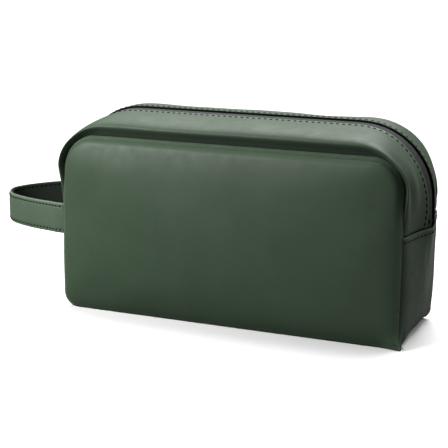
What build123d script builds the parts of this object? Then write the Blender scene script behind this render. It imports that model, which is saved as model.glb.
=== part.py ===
"""Zip-top wash bag for shaving things: a padded leather-cloth box bag with a wrist strap on its left end.

Millimetres. X runs along the bag, with the strap at -X. -Y is the front and +Z is up.
The origin is on the floor, below the middle of the bag.
"""

import os
from functools import lru_cache

from build123d import *

# ---- driving dimensions -------------------------------------------------------------------
PANEL_WIDTH = 249.0  # seam to seam
PANEL_FOOT_WIDTH = 247.0
PANEL_HEIGHT = 126.0  # floor to the panel's top seam
PANEL_TOP_RADIUS = 24.0
PANEL_FOOT_RADIUS = 10.0
PANEL_BULGE = 9.5  # how far a panel stands out past its seam
PANEL_EDGE_RADIUS = 8.0
SEAM_GAP = 75.0  # front seam to back seam

CREST_WIDTH = 265.0  # the gusset's crown, side to side
CREST_FOOT_WIDTH = 252.0
CREST_HEIGHT = 142.0  # floor to the zip
CREST_TOP_RADIUS = 49.0
CREST_FOOT_RADIUS = 12.0

SHOULDER_REACH = 21.0  # the crown's shoulders, each side of the zip
SHOULDER_WIDTH = 256.0
SHOULDER_FOOT_WIDTH = 250.0
SHOULDER_HEIGHT = 139.0
SHOULDER_TOP_RADIUS = 38.0
SHOULDER_FOOT_RADIUS = 11.0

LEATHER = 1.2
FOAM = 2.8
LINING = 0.6
WALL = LEATHER + FOAM + LINING

FOLD_HEIGHT = 76.0  # the zip ends here, and the mouth folds open above it
FOLD_GAP = 0.3

TAPE = 0.6
TAPE_REACH = 15.0  # from the zip's middle to the tape's sewn edge
TAPE_PARTING = 0.2  # half the gap between the two tapes
COIL = 2.0
COIL_REACH = 2.9
COIL_DEPTH = LEATHER + TAPE
SLOT_HALF = 4.2  # half the width between the two zip strips
STRIP_LINING_REACH = 10.0  # the strip's lining stops this far from the zip's middle
STOP_THICKNESS = 0.9
STOP_REACH = 3.0
STOP_FOOT = 77.0
STOP_TOP = 79.4

BINDING = 1.6
BINDING_WIDTH = 3.0

SLIDER_HEIGHT = 87.0  # the closed slider's middle, at the left end of the zip
SLIDER_LENGTH = 13.0
SLIDER_NOSE_WIDTH = 7.9
SLIDER_TAIL_WIDTH = 7.5
SLIDER_PLATE = 1.4
SLIDER_CLEARANCE = 0.3
SLIDER_ROUNDING = 1.6
COIL_PLAY = 0.2
POST_LENGTH = 3.0
POST_WIDTH = 2.0
POST_OFFSET = 4.4  # from the slider's middle towards its nose
POST_ROOM = 0.3
BRIDGE_LENGTH = 8.4
BRIDGE_WIDTH = 2.4
BRIDGE_RISE = 3.2
BRIDGE_WALL = 0.9

PULLER_BAR = 1.6
PULLER_PLAY = 0.25
PULLER_LENGTH = 27.0
PULLER_WIDTH = 8.0
PULLER_NECK_WIDTH = 6.4
PULLER_THICKNESS = 1.4
PULLER_WINDOW_LENGTH = 7.2
PULLER_WINDOW_WIDTH = 3.4
PULLER_NECK_LENGTH = 11.0
PULLER_ROUNDING = 3.0

STRAP_WIDTH = 22.0
STRAP_MIDDLE = 64.0  # height of the strap's middle
STRAP_THICKNESS = 2.4
STRAP_ROOT_X = -134.5  # each sewn end stands out to here, and the free loop starts
STRAP_ROOT_Y = 35.6
STRAP_GAP = 0.3
STRAP_LOOP = [(-163.0, -26.0), (-191.5, 3.0), (-164.0, 28.0)]  # the loop's middle line, front to back
STRAP_PIVOT_X = STRAP_ROOT_X - STRAP_GAP - STRAP_WIDTH / 2

FLOOR_TRIM = 0.1  # the outside is made this much too deep, then cut flat at the floor
REACH = 500.0  # longer than the bag, for cutting boxes
FRONT, BACK = -1, 1
SIDES = {FRONT: "front", BACK: "back"}
LOWER = (0.0, FOLD_HEIGHT)
UPPER = (FOLD_HEIGHT + FOLD_GAP, REACH)
HALVES = {"lower": LOWER, "upper": UPPER}

os.makedirs("parts", exist_ok=True)


def finish(part, name):
    """Labels a finished sub-part and writes its STEP file."""
    part.label = name
    export_step(part, f"parts/{name}.step")


def slab(y_range, z_range):
    """Keeps only what lies within a range of y and of z of the part being built."""
    y_low, y_high = y_range
    z_low, z_high = z_range
    with Locations((0, (y_low + y_high) / 2, (z_low + z_high) / 2)):
        Box(2 * REACH, y_high - y_low, z_high - z_low, mode=Mode.INTERSECT)


def ring(foot_width, width, height, depth, top_radius, foot_radius):
    """An outline of the bag as a face, moved in by a depth: tapered below the fold, upright above it."""
    foot_half = foot_width / 2 - depth
    half = width / 2 - depth
    with BuildSketch() as outline:
        with BuildLine():
            Polyline(
                (-foot_half, depth - FLOOR_TRIM),
                (foot_half, depth - FLOOR_TRIM),
                (half, FOLD_HEIGHT),
                (half, height - depth),
                (-half, height - depth),
                (-half, FOLD_HEIGHT),
                close=True,
            )
        make_face()
        fillet(outline.vertices().group_by(Axis.Y)[-1], top_radius - depth)
        fillet(outline.vertices().group_by(Axis.Y)[0], foot_radius - depth)
    return outline.sketch


def seam_ring(depth):
    """The line where a panel is sewn to the gusset, moved in by a depth."""
    return ring(PANEL_FOOT_WIDTH, PANEL_WIDTH, PANEL_HEIGHT, depth, PANEL_TOP_RADIUS, PANEL_FOOT_RADIUS)


def crest_ring(depth):
    """The gusset's middle line, where the zip runs, moved in by a depth."""
    return ring(CREST_FOOT_WIDTH, CREST_WIDTH, CREST_HEIGHT, depth, CREST_TOP_RADIUS, CREST_FOOT_RADIUS)


def shoulder_ring(depth):
    """The gusset part way between a seam and the zip, moved in by a depth."""
    return ring(
        SHOULDER_FOOT_WIDTH,
        SHOULDER_WIDTH,
        SHOULDER_HEIGHT,
        depth,
        SHOULDER_TOP_RADIUS,
        SHOULDER_FOOT_RADIUS,
    )


@lru_cache
def crown(depth):
    """The crowned gusset at a depth, filled solid from the front seam to the back seam."""
    with BuildPart() as tube:
        with BuildSketch(Plane.XZ.offset(SEAM_GAP / 2)):
            add(seam_ring(depth))
        with BuildSketch(Plane.XZ.offset(SHOULDER_REACH)):
            add(shoulder_ring(depth))
        with BuildSketch(Plane.XZ):
            add(crest_ring(depth))
        with BuildSketch(Plane.XZ.offset(-SHOULDER_REACH)):
            add(shoulder_ring(depth))
        with BuildSketch(Plane.XZ.offset(-SEAM_GAP / 2)):
            add(seam_ring(depth))
        loft()
    return tube.part


@lru_cache
def pillow(depth, side):
    """A padded panel at a depth, filled solid from its seam outwards."""
    outwards = PANEL_BULGE - depth
    with BuildPart() as block:
        with BuildSketch(Plane.XZ.offset(-side * SEAM_GAP / 2)):
            add(seam_ring(depth))
        extrude(amount=-side * outwards)
        face = block.faces().sort_by(Axis.Y)[0 if side == FRONT else -1]
        fillet(face.edges(), PANEL_EDGE_RADIUS - depth)
    return block.part


def gusset_layer(outer, inner, y_range, z_range):
    """The gusset's stuff between two depths, within a range of y and of z."""
    shell = crown(outer)
    core = crown(inner)
    with BuildPart() as layer:
        add(shell)
        add(core, mode=Mode.SUBTRACT)
        slab(y_range, z_range)
    return layer.part


def panel_layer(outer, inner, side, z_range):
    """A panel's stuff between two depths, within a range of z."""
    shell = pillow(outer, side)
    core = pillow(inner, side)
    with BuildPart() as layer:
        add(shell)
        add(core, mode=Mode.SUBTRACT)
        slab((-REACH, REACH), z_range)
    return layer.part


def across(side, near, far):
    """The range of y on one side of the zip, from near to far from its middle."""
    return tuple(sorted((side * near, side * far)))


# ---- panels: leather cloth, foam and lining, each folding at the mouth -------------------------
LAYERS = {
    "panel": (0.0, LEATHER),
    "foam": (LEATHER, LEATHER + FOAM),
    "lining": (LEATHER + FOAM, WALL),
}

for side, side_name in SIDES.items():
    for half_name, z_range in HALVES.items():
        for layer_name, (outer, inner) in LAYERS.items():
            finish(panel_layer(outer, inner, side, z_range), f"{side_name}_{layer_name}_{half_name}")

# ---- the lower gusset, in one length up one end, along the floor and up the other ---------------
WHOLE = (-SEAM_GAP / 2, SEAM_GAP / 2)
for layer_name, (outer, inner) in LAYERS.items():
    piece = "base_gusset" if layer_name == "panel" else f"base_{layer_name}"
    finish(gusset_layer(outer, inner, WHOLE, LOWER), piece)

# ---- the two zip strips, over the top from one end seam to the other -----------------------------
STRIP_LAYERS = {
    "zip_strip": (0.0, LEATHER, SLOT_HALF),
    "strip_foam": (LEATHER, LEATHER + FOAM, TAPE_REACH),
    "strip_lining": (LEATHER + FOAM, WALL, STRIP_LINING_REACH),
}
for side, side_name in SIDES.items():
    for layer_name, (outer, inner, near) in STRIP_LAYERS.items():
        y_range = across(side, near, SEAM_GAP / 2)
        finish(gusset_layer(outer, inner, y_range, UPPER), f"{layer_name}_{side_name}")

# ---- bindings over the raw edges of the seams, inside the bag -------------------------------------
for side, side_name in SIDES.items():
    for half_name, z_range in HALVES.items():
        y_range = across(side, SEAM_GAP / 2 - BINDING_WIDTH, SEAM_GAP / 2)
        finish(gusset_layer(WALL, WALL + BINDING, y_range, z_range), f"{side_name}_binding_{half_name}")

END_RANGE = (FOLD_HEIGHT - BINDING_WIDTH, FOLD_HEIGHT)
INSIDE = (-SEAM_GAP / 2 + BINDING_WIDTH, SEAM_GAP / 2 - BINDING_WIDTH)
finish(gusset_layer(WALL, WALL + BINDING, INSIDE, END_RANGE), "end_bindings")

# ---- the zip: two tapes with a coil on the inner face of each, parted ahead of the slider ---------
post_low = SLIDER_HEIGHT - POST_OFFSET - POST_LENGTH / 2
post_high = SLIDER_HEIGHT - POST_OFFSET + POST_LENGTH / 2 + POST_ROOM
parting_height = post_high - STOP_TOP
with BuildPart() as parting:
    with Locations((-CREST_WIDTH / 2, 0, (STOP_TOP + post_high) / 2)):
        Box(4 * WALL, POST_WIDTH + 2 * POST_ROOM, parting_height)

for side, side_name in SIDES.items():
    whole_tape = gusset_layer(LEATHER, COIL_DEPTH, across(side, TAPE_PARTING, TAPE_REACH), UPPER)
    with BuildPart() as zip_tape:
        add(whole_tape)
        add(parting.part, mode=Mode.SUBTRACT)
    finish(zip_tape.part, f"zip_tape_{side_name}")

    whole_coil = gusset_layer(COIL_DEPTH, COIL_DEPTH + COIL, across(side, TAPE_PARTING, COIL_REACH), UPPER)
    with BuildPart() as zip_coil:
        add(whole_coil)
        add(parting.part, mode=Mode.SUBTRACT)
    finish(zip_coil.part, f"zip_coil_{side_name}")

stops = gusset_layer(LEATHER - STOP_THICKNESS, LEATHER, (-STOP_REACH, STOP_REACH), (STOP_FOOT, STOP_TOP))
finish(stops, "zip_end_stops")


# ---- the slider, closed at the left end, with its wide nose down ----------------------------------
def slider_plane(depth):
    """A plane facing out of the left end at a depth, with the sketch's +Y up and its origin mid-slider."""
    return Plane(
        origin=(-CREST_WIDTH / 2 + depth, 0, SLIDER_HEIGHT),
        x_dir=(0, -1, 0),
        z_dir=(-1, 0, 0),
    )


def slider_outline():
    """The face of a slider's plate, wider at its nose than at its tail."""
    half = SLIDER_LENGTH / 2
    nose = SLIDER_NOSE_WIDTH / 2
    tail = SLIDER_TAIL_WIDTH / 2
    with BuildSketch() as plate:
        with BuildLine():
            Polyline((-nose, -half), (nose, -half), (tail, half), (-tail, half), close=True)
        make_face()
        fillet(plate.vertices(), SLIDER_ROUNDING)
    return plate.sketch


outer_plate_depth = LEATHER - SLIDER_CLEARANCE
inner_plate_depth = COIL_DEPTH + COIL + SLIDER_CLEARANCE
bridge_depth = outer_plate_depth - SLIDER_PLATE

with BuildPart() as slider_body:
    with BuildSketch(slider_plane(outer_plate_depth)):
        add(slider_outline())
    extrude(amount=SLIDER_PLATE)
    with BuildSketch(slider_plane(inner_plate_depth)):
        add(slider_outline())
    extrude(amount=-SLIDER_PLATE)
    with BuildSketch(slider_plane(inner_plate_depth)):
        add(slider_outline())
        Rectangle(2 * (COIL_REACH + COIL_PLAY), 2 * SLIDER_LENGTH, mode=Mode.SUBTRACT)
    extrude(amount=COIL)
    with BuildSketch(slider_plane(inner_plate_depth)):
        with Locations((0, -POST_OFFSET)):
            SlotOverall(POST_LENGTH, POST_WIDTH, rotation=90)
    extrude(amount=inner_plate_depth - outer_plate_depth)
    with BuildSketch(slider_plane(bridge_depth)):
        Rectangle(BRIDGE_WIDTH, BRIDGE_LENGTH)
    extrude(amount=BRIDGE_RISE)
    crest_edges = slider_body.edges().filter_by(Axis.Y).group_by(Axis.X)[0]
    fillet(crest_edges, 2 * BRIDGE_WALL)
    with BuildSketch(slider_plane(bridge_depth)):
        Rectangle(BRIDGE_WIDTH, BRIDGE_LENGTH - 2 * BRIDGE_WALL)
    extrude(amount=BRIDGE_RISE - BRIDGE_WALL, mode=Mode.SUBTRACT)
finish(slider_body.part, "slider_body")

# ---- the pull tab, hanging from a round bar under the slider's bridge ------------------------------
puller_x = -CREST_WIDTH / 2 + bridge_depth - PULLER_PLAY - PULLER_BAR / 2
puller_z = SLIDER_HEIGHT - BRIDGE_LENGTH / 2 + BRIDGE_WALL + PULLER_PLAY + PULLER_BAR / 2

with BuildPart() as pull_tab:
    with BuildSketch(Plane(origin=(puller_x, 0, puller_z), x_dir=(0, -1, 0), z_dir=(-1, 0, 0))):
        with BuildLine():
            Polyline(
                (-PULLER_NECK_WIDTH / 2, 0),
                (PULLER_NECK_WIDTH / 2, 0),
                (PULLER_NECK_WIDTH / 2, -PULLER_NECK_LENGTH),
                (PULLER_WIDTH / 2, -PULLER_NECK_LENGTH - PULLER_WIDTH / 2),
                (PULLER_WIDTH / 2, -PULLER_LENGTH),
                (-PULLER_WIDTH / 2, -PULLER_LENGTH),
                (-PULLER_WIDTH / 2, -PULLER_NECK_LENGTH - PULLER_WIDTH / 2),
                (-PULLER_NECK_WIDTH / 2, -PULLER_NECK_LENGTH),
                close=True,
            )
        tab = make_face()
        fillet(tab.vertices().group_by(Axis.Y)[0], PULLER_ROUNDING)
        with Locations((0, -PULLER_WINDOW_LENGTH / 2)):
            Rectangle(PULLER_WINDOW_WIDTH, PULLER_WINDOW_LENGTH, mode=Mode.SUBTRACT)
    extrude(amount=PULLER_THICKNESS / 2, both=True)
    with Locations((puller_x, 0, puller_z)):
        Cylinder(PULLER_BAR / 2, PULLER_NECK_WIDTH, rotation=(90, 0, 0))
finish(pull_tab.part, "pull_tab")


# ---- the wrist strap: a folded strip of leather cloth, its ends sewn into the front and back seams -
with BuildPart() as wrist_strap:
    with BuildSketch(Plane.XY.offset(STRAP_MIDDLE - STRAP_WIDTH / 2)):
        with BuildLine():
            Spline(
                (STRAP_ROOT_X, -STRAP_ROOT_Y),
                *STRAP_LOOP,
                (STRAP_ROOT_X, STRAP_ROOT_Y),
                tangents=[(-1, 0.1), (1, 0.1)],
            )
        trace(line_width=STRAP_THICKNESS)
    extrude(amount=STRAP_WIDTH)
    with BuildSketch(Plane.XZ):
        with Locations((STRAP_PIVOT_X, STRAP_MIDDLE)):
            Circle(STRAP_WIDTH / 2)
        with Locations((STRAP_PIVOT_X - REACH / 2, STRAP_MIDDLE)):
            Rectangle(REACH, STRAP_WIDTH)
    extrude(amount=SEAM_GAP, both=True, mode=Mode.INTERSECT)
finish(wrist_strap.part, "wrist_strap")

for side, side_name in SIDES.items():
    with BuildPart() as strap_end:
        with Locations(((STRAP_ROOT_X - PANEL_WIDTH / 2) / 2, side * STRAP_ROOT_Y, STRAP_MIDDLE)):
            Box(-STRAP_ROOT_X - PANEL_WIDTH / 2, STRAP_THICKNESS, STRAP_WIDTH)
        add(crown(0.0), mode=Mode.SUBTRACT)
    finish(strap_end.part, f"strap_end_{side_name}")
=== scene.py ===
"""A padded leather-cloth wash bag with a zip over its top and a wrist strap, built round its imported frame.

Lengths are in millimetres until a mesh is made, where they become metres. -Y is the bag's front, +Z is up.
The bag's outline, seen from the front, is a closed path of straights and corner arcs. A place on the gusset
is a step t along that path, and a share v of the way from the front seam (-1) over the zip (0) to the back
seam (1).
"""

import math

import bmesh
import bpy
import numpy as np
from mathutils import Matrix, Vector, noise


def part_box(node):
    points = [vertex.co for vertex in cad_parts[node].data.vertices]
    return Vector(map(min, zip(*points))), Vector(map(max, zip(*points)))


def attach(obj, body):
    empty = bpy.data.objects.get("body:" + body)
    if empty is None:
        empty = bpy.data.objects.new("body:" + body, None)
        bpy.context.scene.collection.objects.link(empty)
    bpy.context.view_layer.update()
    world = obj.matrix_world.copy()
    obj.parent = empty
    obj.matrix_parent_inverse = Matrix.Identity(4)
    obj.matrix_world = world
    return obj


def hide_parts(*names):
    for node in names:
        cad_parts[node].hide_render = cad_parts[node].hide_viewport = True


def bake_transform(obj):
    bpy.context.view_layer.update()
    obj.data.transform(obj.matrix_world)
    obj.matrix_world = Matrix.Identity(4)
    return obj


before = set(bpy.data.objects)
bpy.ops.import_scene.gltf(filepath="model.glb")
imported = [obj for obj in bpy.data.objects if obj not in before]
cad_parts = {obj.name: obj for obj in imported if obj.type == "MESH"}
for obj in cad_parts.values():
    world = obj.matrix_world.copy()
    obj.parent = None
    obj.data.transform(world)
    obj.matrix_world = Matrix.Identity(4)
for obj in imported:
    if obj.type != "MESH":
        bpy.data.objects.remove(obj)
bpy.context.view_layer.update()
MM = 0.001


def box_mm(node):
    """The lowest and highest corners of a CAD node, in millimetres."""
    low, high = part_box(node)
    return np.array(low) / MM, np.array(high) / MM


# ---- sizes read from the frame
panel_low, panel_high = box_mm("front_panel_upper")
_, gusset_high = box_mm("base_gusset")
_, strip_high = box_mm("zip_strip_front")
_, lining_high = box_mm("base_lining")
strap_low, _ = box_mm("wrist_strap")
end_low, end_high = box_mm("strap_end_front")
tape_low, _ = box_mm("zip_tape_front")

SEAM_HALF = panel_high[0]  # the panel's seam, from the bag's middle
SEAM_Y = gusset_high[1]
PANEL_TOP = panel_high[2]
PANEL_FRONT = -panel_low[1]
FOLD = gusset_high[2]  # the mouth folds open above this height
CREST_HALF = gusset_high[0]
CREST_TOP = strip_high[2] + 0.1
SLOT = -strip_high[1]  # from the zip's middle to a strip's folded edge
TAPE_REACH = -tape_low[1]
LINING_DEPTH = gusset_high[0] - lining_high[0]

# ---- sizes that the look needs beyond the frame
FOOT_TAPER = {"right": 1.0, "left": -1.0}  # how far each side of a panel leans in by the floor
CREST_FOOT_TAPER = {"right": 7.5, "left": 6.0}
SEAM_RADII = {
    -1: {"right_foot": 3.0, "right_top": 23.0, "left_top": 25.0, "left_foot": 11.0},
    1: {"right_foot": 8.0, "right_top": 37.0, "left_top": 34.0, "left_foot": 11.0},
}  # the back is slacker, so its top corners are rounder
CREST_RADII = {"right_foot": 8.0, "right_top": 49.0, "left_top": 49.0, "left_foot": 12.0}
LEATHER = 1.2
LINING = 0.6
LINING_GAP = 0.1  # more room in front of a panel's lining
SEAM_TOP = {-1: PANEL_TOP - 1.6, 1: PANEL_TOP}
PANEL_ROLL = 27.0  # how far a panel's pillowed edge reaches in from the seam
PANEL_ROLL_RISE = 5.4
GRID = 2.2  # mesh spacing
FOLD_FADE = 30.0  # above and below the fold, the gusset's form changes over this height
FLOOR_FADE = 22.0  # its rolls fade out below this height
ROLL_OVERHANG, ROLL_RISE = 3.6, 0.8  # how far the top rolls out over a panel's seam, and up
SIDE_OVERHANG, SIDE_OVERHANG_HIGH = 0.8, 5.0  # the same at the ends, low down and what height adds
SIDE_RISE, SIDE_RISE_HIGH = 1.2, 1.2
ROLL_PEAK, SIDE_ROLL_PEAK, RISE_PEAK = 0.15, 0.10, 0.16  # where each is fullest, as a share in from the seam
BACK_TIGHTNESS = 0.8  # the share of its ends' rolls that the back goes without
SEAM_TUCK = 4.5  # how deep the seams are drawn in round the mouth
SEAM_TUCK_REACH = 2.4
PINCH_HEIGHT = 58.0  # the ends are slack: drawn in at this height and swollen a span below it
PINCH_SPAN = 23.0
PINCH_DEPTH = 1.1
RIDGE_Y = 4.0  # the right end comes to a ridge beside the zip
RIDGE_WIDTH = 7.0
RIDGE_RISE = 3.2
RIDGE_FADE = 14.0
RIDGE_BLUNT, FOOT_BLUNT = 0.10, 0.5  # how blunt the ends' ridge is, and what it gains towards the floor
TOP_RIDGE = 0.5  # the share of that ridge along the top
LANDING_Z = 89.0  # where the slider stops at the right end, the zip lies flatter
LANDING_REACH = 9.0
LANDING_FLAT = 12.0
SEAM_SAG = 2.6  # the seams across the ends hang in their middle and rise towards the back
SEAM_LEAN = 1.6
SAG_REACH = 18.0
EAR_OUT, EAR_FORWARD = 3.2, 2.2  # the front panel's right foot is pinched out into a small ear
EAR_HEIGHT = 7.0
EAR_START, EAR_FADE = 14.0, 12.0  # in from the seam's corner
EAR_NOTCH = 2.4  # how deep the gusset is drawn in behind the ear
EAR_NOTCH_AT = 4.5
EAR_NOTCH_WIDTH = 2.6
ZIP_SINK = 1.3  # how far the zip lies below the CAD's crest along the top
FRONT_PADDING = 0.6
BACK_PADDING = 3.0
EASE_ROWS = 7
EDGE_CROWDING, EVEN_SPACING = 0.55, 0.45  # a panel's mesh is a mix of the two
PANEL_FULLNESS = 2.4  # a higher power keeps a panel's swell fuller towards its sides
PANEL_CALM = 18.0  # ripples fade within this distance of a panel's seam
ZIP_CALM, ZIP_CALM_REACH = 3.0, 10.0  # and beside the zip
PANEL_RIPPLES = [(60.0, 11.7, 1.0), (24.0, 5.2, 0.25)]  # size, seed and height of each
GUSSET_RIPPLES = [(34.0, 7.3, 1.3), (15.0, 2.1, 0.35)]
SEWN_EDGE = 1.0  # a panel is held within this distance of its seam
CORNER_FOLDS = [(4.0, 2.2, 1.0), (10.0, 3.2, -1.4), (17.5, 4.5, 0.9)]  # place, width and rise of each
FOLDS_FOOT, FOLDS_FOOT_FADE = 84.0, 14.0  # the heights between which those folds show
FOLDS_HEAD, FOLDS_HEAD_FADE = 136.0, 20.0
FOLDS_TURN = 1.6
STITCH_PITCH = 4.3
STITCH_LENGTH = 2.5
STITCH_RADIUS = 0.45
STITCH_PROFILE = (-0.5, -0.06, 0.0, -0.06, -0.5)  # heights along a stitch, sunk at both ends
THREAD_END = 0.45  # the share of its radius that a thread has at its ends

FOLD_LIFT = {-1: 0.2, 1: 0.7}  # how far each strip's folded edge stands up beside the zip
FOLD_LIFT_REACH = 2.2
END_PRESS, END_PRESS_REACH = 0.9, 2.2  # a strip is pressed in at the seams across the ends
END_LIFT, END_LIFT_REACH = 0.5, 4.5  # and the lower gusset stands up there
END_ROWS = 20  # rows of the lower gusset's mesh that are searched for those seams
FLOOR_HELD = 3.0  # the gusset is held below this height
GROOVE_DEPTH = 0.3
GROOVE_WIDTH = 0.9
ZIP_STITCH = 6.3  # from the zip's middle to the row of stitches
ZIP_HELD = 1.5  # a strip is held as far as this beyond that row
SIDE_STITCH = 3.2  # below the fold
STRAP_STITCH = 2.3  # in from each edge of the strap
STRAP_PITCH, STRAP_STITCH_LENGTH = 3.4, 2.1
STRAP_THICK = 2.4
STRAP_ROWS = 190
STRAP_EDGE = 0.2  # the share of its thickness left at its edges
STRAP_GROOVE, STRAP_GROOVE_WIDTH = 0.28, 0.8
STRAP_SWELL = 0.35
STRAP_TWIST = [(26.0, 3.1, 0.5)]
STRAP_WAVES = [(12.0, 9.4, 0.18)]
STRAP_TAPER = 2.0  # how far in from each edge the strap begins to thin
STRAP_PAINTED_SHADE = 0.9  # painted shade: how much darker the strap's inner face is painted, for the shade between it and the bag
TAPE_DEPTH = 0.8
TAPE_THICKNESS = 0.6
TAPE_RIDGE, TAPE_RIDGE_AT, TAPE_RIDGE_WIDTH = 0.18, 2.4, 0.35
COIL_PITCH = 1.7
COIL_Y, COIL_DEPTH = 1.55, 1.0  # a coil's middle, from the zip's middle and below its tape
COIL_HALF_HEIGHT, COIL_HALF_WIDTH = 0.62, 1.15
COIL_STEPS = 9
COIL_WIRE = 0.36
BINDING_RADIUS = 1.25
BINDING_IN = 1.4
EDGE_STEPS = 5
PALE_EDGE_REACH = 0.5
RIM_HIGHLIGHT = 0.45  # painted highlight: a panel's edge is painted paler where it turns in to its seam
RIM_IN = 1.0
RIM_WIDTH = 1.1
CREASE_SHADE_REACH = 6.0
STRIP_CREASE_SHADE = 0.9  # painted shade: the gusset is painted darker down in its seams, where shade falls
BASE_CREASE_SHADE = 0.35

NOISE_LOW, NOISE_HIGH = 0.3, 0.7  # most of a noise's values lie between these

CLOTH_SETTINGS = {
    "quality": 6,
    "mass": 0.4,
    "tension_stiffness": 25,
    "compression_stiffness": 25,
    "shear_stiffness": 12,
    "bending_stiffness": 8,
    "use_pressure": True,
    "uniform_pressure_force": 3.0,
}
CLOTH_FRAMES = 20
PANEL_CAP = 4.0  # the most that the pressure may move each sheet
STRIP_CAP = 2.0
BASE_CAP = 1.5
PANEL_SOFTNESS = 30
GUSSET_SOFTNESS = 8

FLOOR_REACH = 30.0  # metres
FLOOR_BOUNCE = (0.14, 0.14, 0.14, 1)  # what the floor throws back at the bag, less than it shows
SKY_LIGHT = 0.08
CAMERA_PLACE = (0.3624, -0.8330, 0.2734)  # metres, found by fitting the bag's outline
CAMERA_TARGET = (-0.01685, 0, 0.0621)
CAMERA_LENS, CAMERA_SENSOR = 107.6, 36

# steps along the outline: a straight and then an arc for each of its six corners
RIGHT_FOLD = 3
TOP_START, TOP_END = 4, 9
LEFT_FOLD = 9
BASE_START, BASE_END = 10, 15
STEPS = 12


# ---- meshes
def add_object(name, data):
    """A new object in the scene."""
    obj = bpy.data.objects.new(name, data)
    bpy.context.collection.objects.link(obj)
    return obj


def mesh_object(name, points, faces, material):
    """A smooth-shaded mesh object from points in millimetres."""
    mesh = bpy.data.meshes.new(name)
    mesh.from_pydata((np.asarray(points, float) * MM).tolist(), [], faces)
    mesh.validate()
    mesh.update()
    mesh.materials.append(material)
    mesh.polygons.foreach_set("use_smooth", [True] * len(mesh.polygons))
    return add_object(name, mesh)


def face_outwards(obj):
    """Turns every face of a closed mesh outwards."""
    work = bmesh.new()
    work.from_mesh(obj.data)
    bmesh.ops.recalc_face_normals(work, faces=work.faces)
    work.to_mesh(obj.data)
    work.free()
    return obj


def unit(vectors):
    """Vectors of length 1 that point the same way."""
    return vectors / np.maximum(np.linalg.norm(vectors, axis=-1, keepdims=True), 1e-9)


def grid_normals(grid):
    """Unit normals of a grid of points, by central differences."""
    return unit(np.cross(np.gradient(grid, axis=0), np.gradient(grid, axis=1)))


def quads(rows, columns, wrap_rows=False, wrap_columns=False):
    """Faces of a grid of points stored row by row."""
    faces = []
    for i in range(rows if wrap_rows else rows - 1):
        for j in range(columns if wrap_columns else columns - 1):
            a = i * columns + j
            b = i * columns + (j + 1) % columns
            c = ((i + 1) % rows) * columns + (j + 1) % columns
            d = ((i + 1) % rows) * columns + j
            faces.append((a, b, c, d))
    return faces


def slab(name, outer, inner, material):
    """A closed sheet between two grids, with its two long edges rounded and its ends capped."""
    half = (outer - inner) / 2
    middle = (outer + inner) / 2
    thick = np.linalg.norm(half, axis=2, keepdims=True)
    rows = outer.shape[0]

    def rounded(column, beside):
        away = unit(middle[:, column] - middle[:, beside]) * thick[:, column]
        angles = [math.pi * k / (EDGE_STEPS + 1) for k in range(1, EDGE_STEPS + 1)]
        return [middle[:, column] + half[:, column] * math.cos(a) + away * math.sin(a) for a in angles]

    columns = [outer[:, j] for j in range(outer.shape[1])]
    columns += rounded(-1, -2)
    columns += [inner[:, j] for j in reversed(range(inner.shape[1]))]
    columns += reversed(rounded(0, 1))
    points = np.stack(columns, axis=1)
    count = points.shape[1]
    faces = quads(rows, count, wrap_columns=True)
    faces.append(tuple(range(count)))
    faces.append(tuple(reversed(range((rows - 1) * count, rows * count))))
    return face_outwards(mesh_object(name, points.reshape(-1, 3), faces, material))


def tube(name, lines, radius, material, sides=8, closed=False):
    """Round tubes along lists of points, joined in one mesh, with tapered ends."""
    points, faces = [], []
    for line in lines:
        line = np.asarray(line, float)
        tangent = unit(np.gradient(line, axis=0))
        side = np.cross(tangent, (0.0, 1.0, 0.0))
        along_y = np.linalg.norm(side, axis=1) < 0.2
        side[along_y] = np.cross(tangent[along_y], (1.0, 0.0, 0.0))
        side = unit(side)
        other = np.cross(side, tangent)
        base = len(points)
        last = len(line) - 1
        for i, centre in enumerate(line):
            size = radius * (THREAD_END if i in (0, last) and not closed else 1.0)
            for k in range(sides):
                a = 2 * math.pi * k / sides
                points.append(centre + size * (math.cos(a) * side[i] + math.sin(a) * other[i]))
        faces += [tuple(base + p for p in q) for q in quads(len(line), sides, closed, True)]
        if not closed:
            faces.append(tuple(base + k for k in range(sides)))
            faces.append(tuple(base + last * sides + k for k in reversed(range(sides))))
    return face_outwards(mesh_object(name, points, faces, material))


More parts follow.
